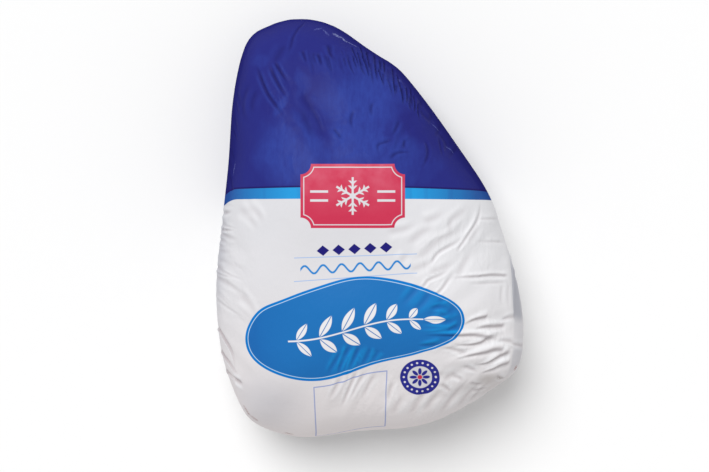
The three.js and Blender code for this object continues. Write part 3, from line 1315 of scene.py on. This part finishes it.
    def _frost_and_sheen(self) -> Term:
        """How much hazy frost and painted reflection the dark field has at each place, more where it faces
        up.
        """
        warp = (26.0, 34.0)
        centred = self.bench.join(self.across - warp[0] / 2, self.level - warp[1] / 2)
        moved = self.spread.noise(38, detail=4, output=1).vector("MULTIPLY_ADD", (*warp, 0), centred)
        # more where the film faces up, as painted reflection
        frost_and_sheen = self.upright * 0.12
        for centre, tilt, size, strength in self.frost_and_sheen_patches:
            frost_and_sheen = most(frost_and_sheen, moved.local(centre, tilt, size).length().window(1.15, 0.45) * strength)
        grain = self.bench.join(self.across, self.level * 0.35).noise(0.3, detail=4, rough=0.6)
        frost_and_sheen = frost_and_sheen * (grain.window(0.3, 0.7) * 0.5 + 0.6)
        for centre, tilt, size, strength in self.hollows:
            frost_and_sheen = frost_and_sheen * (moved.local(centre, tilt, size).length().window(1.1, 0.4) * -strength + 1.0)
        return frost_and_sheen

    def _plaque(self) -> list[Layer]:
        """A red plaque with scooped corners, a thin keyline and a snowflake between short bars."""
        scoop, keyline, line = 7.0, 2.2, 0.32
        hub, arm, thick, twig, slanted = 2.0, 12.6, 0.7, 0.55, 0.707
        bar_at, bar_half = (22.5, 3.0), (6.0, 0.8)
        inner = self.place.local(self.plaque_centre)
        x, y = inner.parts()
        beside = [abs(part) - half for part, half in zip((x, y), self.plaque_half)]
        plaque = most(*beside, scoop - self.bench.join(*beside).length())
        radius = inner.length()
        turned = x.math("ARCTAN2", y).wrap(math.pi / 3)
        out = radius * turned.math("COSINE")
        side = abs(radius * turned.math("SINE"))
        motif = [
            abs(plaque + keyline) - line,
            most(side - thick, out - arm),
            radius - hub,
            most(*(abs(abs(part) - at) - half for part, at, half in zip((x, y), bar_at, bar_half))),
        ]
        for root, length in ((4.6, 3.4), (8.2, 3.0)):
            beyond = out - root
            motif.append(most(abs(side - beyond) * slanted - twig, beyond - length * slanted))
        # painted light: the red is lighter towards the plaque's top in soft patches, with painted shade in
        # its creases
        pale = y.window(-14, 22) * self.spread.noise(90, detail=4).window(0.3, 0.7)
        red = painted(self.inks.red, [(pale, self.inks.lit_red), (self.crease_shade * 0.5, self.inks.red_crease_shade)])
        return [(plaque.ink(), red), (least(*motif).ink(0.35), self.inks.white)]

    def _marks(self) -> list[Layer]:
        """Pale streaks on the tip's shoulder and elsewhere on the dark half, and a few small stains near the
        lower edge.
        """
        rust, grain, grain_turn = linear(140, 92, 80), (3.6, 1.0), -24
        marks = (
            ((-35, 133.6), 20, (3.4, 0.8), linear(104, 112, 176), 0.8),
            ((-29.6, 131.2), -50, (3.4, 0.9), linear(110, 118, 180), 0.8),
            ((-22, 129.8), -24, (3.6, 1.3), linear(146, 154, 198), 1.0),
            ((-17.2, 127.4), -46, (3.2, 0.9), linear(160, 168, 208), 1.0),
            ((-11, 124.6), -22, (5.4, 0.5), linear(136, 144, 196), 1.0),
            ((20.5, 100), -52, (3.4, 0.8), linear(90, 100, 170), 0.6),
            ((45.4, 68.2), -34, (4.2, 0.5), linear(108, 120, 184), 0.9),
            ((55.4, 54.2), -32, (4.2, 0.5), linear(108, 120, 184), 0.9),
            ((-94.4, 40), 76, (5, 0.5), linear(120, 128, 186), 0.8),
            ((104.4, -98.6), 46, (3.0, 4.4), linear(150, 78, 58), 1.0),
            ((88.6, -103.7), -20, (3.2, 1.6), linear(150, 140, 132), 0.7),
            ((-87, -126), -56, (5.6, 2.2), rust, 0.9),
            ((-80.4, -131.2), -30, (4.4, 2.0), rust, 0.8),
            ((-56, -144.6), -17, (4, 2.2), rust, 0.9),
        )
        layers = []
        for centre, tilt, size, ink, strength in marks:
            patch = self.place.local(centre, tilt, size).length().window(1.1, 0.5)
            speckle = self.place.local(centre, tilt + grain_turn, grain).noise(2.2, detail=4, rough=0.7)
            layers.append((patch * speckle.window(0.45, 0.58) * strength, ink))
        return layers

    def crinkle(self) -> Term:
        """The normal, bumped by fine wrinkles that are too small for the mesh."""
        turn = {"Rotation": (0, 0, math.radians(24)), "Scale": (1.0, 0.45, 1.0)}
        drawn = self.bench.node("ShaderNodeMapping", {"Vector": self.spread} | turn)
        ridges = abs(drawn.noise(130, detail=2, rough=0.6) - 0.5) * -2.0 * self.crumpled
        threads = drawn.noise(260, detail=4, rough=0.55) * 0.35
        height = threads + self.spread.noise(70) + ridges
        return self.bench.node("ShaderNodeBump", {"Strength": 0.4, "Distance": 0.0011, "Height": height})


@dataclass(frozen=True)
class PrintedFilm:
    """The finish of the bag: satin film with a printed design, dull where it turns down."""

    roughness: float = 0.3
    unevenness: float = 0.16
    specular: float = 0.04
    coat: float = 0.008
    coat_roughness: float = 0.16
    grain: float = 60.0
    gloss_ends: Point = (0.45, 0.95)

    def dress(self, piece: bpy.types.Object) -> None:
        """Gives a piece the finish.

        Args:
            piece: The skin to dress.
        """
        material = bpy.data.materials.new("printed film")
        material.use_nodes = True
        tree = material.node_tree
        tree.nodes.clear()
        design = FilmDesign(NodeBench(tree))
        gloss = design.upright.window(*self.gloss_ends)
        shader = design.bench.node("ShaderNodeBsdfPrincipled", {
            "Base Color": design.colour(),
            "Roughness": design.spread.noise(self.grain) * self.unevenness + self.roughness,
            "Specular IOR Level": gloss * self.specular,
            "Coat Weight": gloss * self.coat,
            "Coat Roughness": self.coat_roughness,
            "Normal": design.crinkle(),
        })
        design.bench.feed(tree.nodes.new("ShaderNodeOutputMaterial").inputs["Surface"], shader)
        piece.data.materials.clear()
        piece.data.materials.append(material)


@dataclass(frozen=True)
class ViewPoint:
    """Where the photograph was taken from: straight above, with the pack's tip at the top of the picture.

    slip is how far the printed design lies off the middle of the pack.
    """

    lens: float = 85.0
    sensor: float = 36.0
    picture_width: int = 709
    scale: float = 0.67
    girth: float = 42.4
    nearest: float = 10.0
    aim: Point = (-10.3, -6.2)
    slip: Point = (0.3, -0.4)

    def distance(self) -> float:
        """How far the camera is above the pack's widest outline, in millimetres."""
        return self.picture_width * self.scale * self.lens / self.sensor

    def eye(self) -> np.ndarray:
        """Where the camera stands, in millimetres."""
        return np.array([*self.aim, self.girth + self.distance()])

    def place_camera(self) -> None:
        """Adds the camera."""
        clear_selection()
        bpy.ops.object.camera_add(location=self.eye() * MM, rotation=(0, 0, 0))
        camera = bpy.context.object
        camera.data.lens = self.lens
        camera.data.sensor_width = self.sensor
        camera.data.clip_start = self.nearest * MM
        bpy.context.scene.camera = camera


@dataclass(frozen=True)
class FilmLayout:
    """Where each point of the skin lies on the printed design.

    The face is laid out as the camera sees it. Down the flanks the film is rolled out, so that the design
    ends there. The dark field hangs low at its left end.
    """

    view: ViewPoint
    steep_turn: float = 45.0
    unroll: float = 36.0
    hang_from: float = 89.0
    hang_under: float = 30.0
    hang_growth: float = 0.05
    hang_most: float = 4.5

    def places(self, points: np.ndarray, normals: np.ndarray) -> np.ndarray:
        """Lays points out on the design.

        Args:
            points: The skin's points.
            normals: The directions that they face.

        Returns:
            Their places across and along, and their level on the dark field.
        """
        aim = np.array(self.view.aim)
        distance = self.view.distance()
        growth = distance / (distance - (points[:, 2] - self.view.girth))
        plan = aim + (points[:, :2] - aim) * growth[:, None] - np.array(self.view.slip)
        under = self.hang_under * np.maximum(-normals[:, 2], 0)
        beside = np.maximum(-plan[:, 0] - self.hang_from + under, 0)
        level = plan[:, 1] + np.minimum(self.hang_growth * beside**2, self.hang_most)
        flat = np.linalg.norm(normals[:, :2], axis=1)
        outward = normals[:, :2] / np.maximum(flat, 0.001)[:, None]
        beyond = np.maximum(np.arctan2(flat, normals[:, 2]) - math.radians(self.steep_turn), 0)
        rolled = plan + outward * (self.unroll * beyond**2)[:, None]
        return np.column_stack([rolled, level])


@dataclass
class FilmBag:
    """The shut bag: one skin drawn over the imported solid, creased and printed."""

    view: ViewPoint
    finish: PrintedFilm
    merge: float = 0.01
    block: float = 1.2
    voxel: float = 2.8
    cuts: int = 40
    smoothing: float = 0.5
    calm: int = 8
    face_calm: int = 20
    margin: float = 4.0
    base: float = 0.15
    base_facing: float = -0.999
    fine_width: float = 1.9
    fine_reach: Point = (1.3, 0.7)
    # how much of the creases' painted shade is left low on the flank, and the heights over which it comes
    # back
    flank_shade_share: float = 0.3
    flank_shade_ends: Point = (22, 40)
    floor_ends: Point = (0.3, 4)
    seed: int = 11

    def build(self) -> bpy.types.Object:
        """Makes the bag.

        Returns:
            The finished piece.
        """
        former = self._former()
        skin = self._drawn_over(former)
        self._refine_face(skin, former)
        self._thin_out_base(skin)
        bpy.data.objects.remove(former)
        creases = self._lay_out(skin)
        self._refine_along(skin, creases)
        self._press(skin, creases)
        take_up(skin)
        bpy.ops.object.shade_smooth()
        self.finish.dress(skin)
        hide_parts(NODE)
        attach(skin, BODY)
        return skin

    def _former(self) -> bpy.types.Object:
        """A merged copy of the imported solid, to draw the skin over.

        Returns:
            The copy.
        """
        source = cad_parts[NODE]
        former = bpy.data.objects.new("former", source.data.copy())
        bpy.context.scene.collection.objects.link(former)
        with edit_mode(former):
            bpy.ops.mesh.remove_doubles(threshold=self.merge * MM)
            bpy.ops.mesh.normals_make_consistent(inside=False)
        return former

    def _tighten(self, skin: bpy.types.Object, former: bpy.types.Object, rounds: int = 0) -> None:
        """Draws the skin tight over the former and calms it.

        Args:
            skin: The skin.
            former: What it is drawn over.
            rounds: How many times it is smoothed.
        """
        finish_with(skin, "SHRINKWRAP", target=former, wrap_method="NEAREST_SURFACEPOINT")
        if rounds:
            finish_with(skin, "SMOOTH", factor=self.smoothing, iterations=rounds)

    def _drawn_over(self, former: bpy.types.Object) -> bpy.types.Object:
        """A rounded block, drawn tight over the former and made of small even faces.

        Args:
            former: What it is drawn over.

        Returns:
            The skin.
        """
        low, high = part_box(NODE)
        clear_selection()
        span = (high - low) * self.block
        bpy.ops.mesh.primitive_cube_add(size=1, location=(low + high) / 2, scale=span)
        skin = bpy.context.object
        skin.name = "printed_film_bag"
        with edit_mode(skin):
            bpy.ops.mesh.subdivide(number_cuts=self.cuts)
        bpy.ops.object.transform_apply(location=True, rotation=True, scale=True)
        self._tighten(skin, former)
        finish_with(skin, "REMESH", mode="VOXEL", voxel_size=self.voxel * MM)
        self._tighten(skin, former, self.calm)
        return skin

    def _refine_face(self, skin: bpy.types.Object, former: bpy.types.Object) -> None:
        """Halves the faces above the widest outline, where the creases are.

        Args:
            skin: The skin.
            former: What it is drawn over.
        """
        level = (self.view.girth - self.margin) * MM
        with edit_mode(skin, [face.center.z > level for face in skin.data.polygons]):
            bpy.ops.mesh.subdivide(number_cuts=1)
        self._tighten(skin, former, self.face_calm)

    def _thin_out_base(self, skin: bpy.types.Object) -> None:
        """Joins the small faces of the flat base into one.

        Args:
            skin: The skin.
        """
        faces = skin.data.polygons
        base = [face.center.z < self.base * MM and face.normal.z < self.base_facing for face in faces]
        with edit_mode(skin, base):
            bpy.ops.mesh.dissolve_faces()
            bpy.ops.mesh.select_all(action="SELECT")
            bpy.ops.mesh.normals_make_consistent(inside=False)

    def _lay_out(self, skin: bpy.types.Object) -> list[LaidCrease]:
        """Lays every crease on the smooth skin.

        Args:
            skin: The skin.

        Returns:
            The creases.
        """
        surface = SkinSurface(BVHTree.FromObject(skin, bpy.context.evaluated_depsgraph_get()), self.view)
        random = np.random.default_rng(self.seed)
        creases = [crease for row in CREASE_ROWS for crease in row.creases(random)]
        laid = [LaidCrease(np.array([surface.on_face(*p) for p in c.route()]), c.look) for c in creases]
        return laid + FlankGathers().laid_on(surface, random) + NeckGathers().laid_on(surface, random)

    def _refine_along(self, skin: bpy.types.Object, creases: list[LaidCrease]) -> None:
        """Halves the faces along the finer creases.

        Args:
            skin: The skin.
            creases: The creases.
        """
        wider, more = self.fine_reach
        fine = [crease for crease in creases if crease.look.width < self.fine_width]
        places = np.vstack([crease.route for crease in fine])
        reaches = np.concatenate([np.full(len(c.route), wider * c.look.width + more) for c in fine]) * MM
        tree = KDTree(len(places))
        for index, place in enumerate(places):
            tree.insert(Vector(place) * MM, index)
        tree.balance()
        found = [tree.find(face.center) for face in skin.data.polygons]
        with edit_mode(skin, [distance < reaches[index] for _, index, distance in found]):
            bpy.ops.mesh.subdivide(number_cuts=1)

    def _press(self, skin: bpy.types.Object, creases: list[LaidCrease]) -> None:
        """Presses the creases in, and writes the film's layout, folds, painted shade and painted highlight as
        attributes.

        Args:
            skin: The skin.
            creases: The creases.
        """
        mesh = skin.data
        points, normals = np.empty((2, len(mesh.vertices) * 3))
        mesh.vertices.foreach_get("co", points)
        mesh.vertex_normals.foreach_get("vector", normals)
        points, normals = points.reshape(-1, 3) / MM, normals.reshape(-1, 3)
        relief = FilmRelief(points, normals)
        for crease in creases:
            relief.press(crease)
        for crumple in CRUMPLES:
            relief.crumple(crumple)
        relief.height += FlankDents().heights(points)
        # the creases' painted shade is weaker low on the flank
        clear_of_flank = smooth_step(*self.flank_shade_ends, points[:, 2])
        relief.crease_shade *= self.flank_shade_share + (1 - self.flank_shade_share) * clear_of_flank
        off_floor = smooth_step(*self.floor_ends, points[:, 2])
        moved = points + normals * (relief.height * off_floor)[:, None]
        moved[:, 2] = np.maximum(moved[:, 2], 0)
        mesh.vertices.foreach_set("co", (moved * MM).ravel())

        layout = FilmLayout(self.view).places(points + relief.gather, normals)
        drawn = plan = layout[:, :2]
        for draw in DRAWS:
            drawn = draw.applied(drawn)
        # the cool and the warm painted shade
        painted_shades = [np.clip(sum(s.depth(plan) for s in shades), 0, 1) for shades in (COOL_SHADES, WARM_SHADES)]
        # folds holds the painted crease shade, the painted crest highlight and how crumpled the film is;
        # shades holds the cool and warm painted shade
        for name, columns in (
            ("layout", [layout]),
            ("drawn", [drawn, normals[:, 2]]),
            ("folds", [relief.crease_shade, relief.lift, relief.crumpled]),
            ("shades", [*painted_shades, np.zeros(len(points))]),
        ):
            stored = mesh.attributes.new(name, "FLOAT_VECTOR", "POINT")
            stored.data.foreach_set("vector", np.column_stack(columns).ravel())
        mesh.update()


@dataclass(frozen=True)
class Studio:
    """The pale floor and the soft light."""

    floor_size: float = 6.0
    floor_drop: float = 0.3
    floor_colour: Colour = (0.875, 0.875, 0.875)
    floor_roughness: float = 0.9
    floor_specular: float = 0.1
    sky: float = 0.54
    key_from: tuple[float, float, float] = (-0.32, 0.64, 1.22)
    key_strength: float = 2.2
    key_spread: float = 38.0

    def build(self) -> None:
        """Adds the floor and the lights."""
        clear_selection()
        bpy.ops.mesh.primitive_plane_add(size=self.floor_size, location=(0, 0, -self.floor_drop * MM))
        floor = bpy.context.object
        floor.name = "floor"
        material = bpy.data.materials.new("pale floor")
        material.use_nodes = True
        shader = material.node_tree.nodes["Principled BSDF"]
        shader.inputs["Base Color"].default_value = (*self.floor_colour, 1)
        shader.inputs["Roughness"].default_value = self.floor_roughness
        shader.inputs["Specular IOR Level"].default_value = self.floor_specular
        floor.data.materials.append(material)

        bpy.ops.object.light_add(type="SUN", location=self.key_from)
        key = bpy.context.object
        key.data.energy = self.key_strength
        key.data.angle = math.radians(self.key_spread)
        key.rotation_euler = (-Vector(self.key_from)).to_track_quat("-Z", "Y").to_euler()

        world = bpy.data.worlds.new("studio")
        world.use_nodes = True
        world.node_tree.nodes["Background"].inputs["Color"].default_value = (1, 1, 1, 1)
        world.node_tree.nodes["Background"].inputs["Strength"].default_value = self.sky
        bpy.context.scene.world = world
        bpy.context.scene.view_settings.view_transform = "Standard"


def main() -> None:
    """Builds the scene in order and logs how many points and faces the bag came out with."""
    logging.basicConfig(level=logging.INFO, format="%(message)s")
    view = ViewPoint()
    view.place_camera()
    Studio().build()
    bag = FilmBag(view, PrintedFilm()).build()
    log.info("%s: %d points, %d faces", bag.name, len(bag.data.vertices), len(bag.data.polygons))


if __name__ == "__main__":
    main()
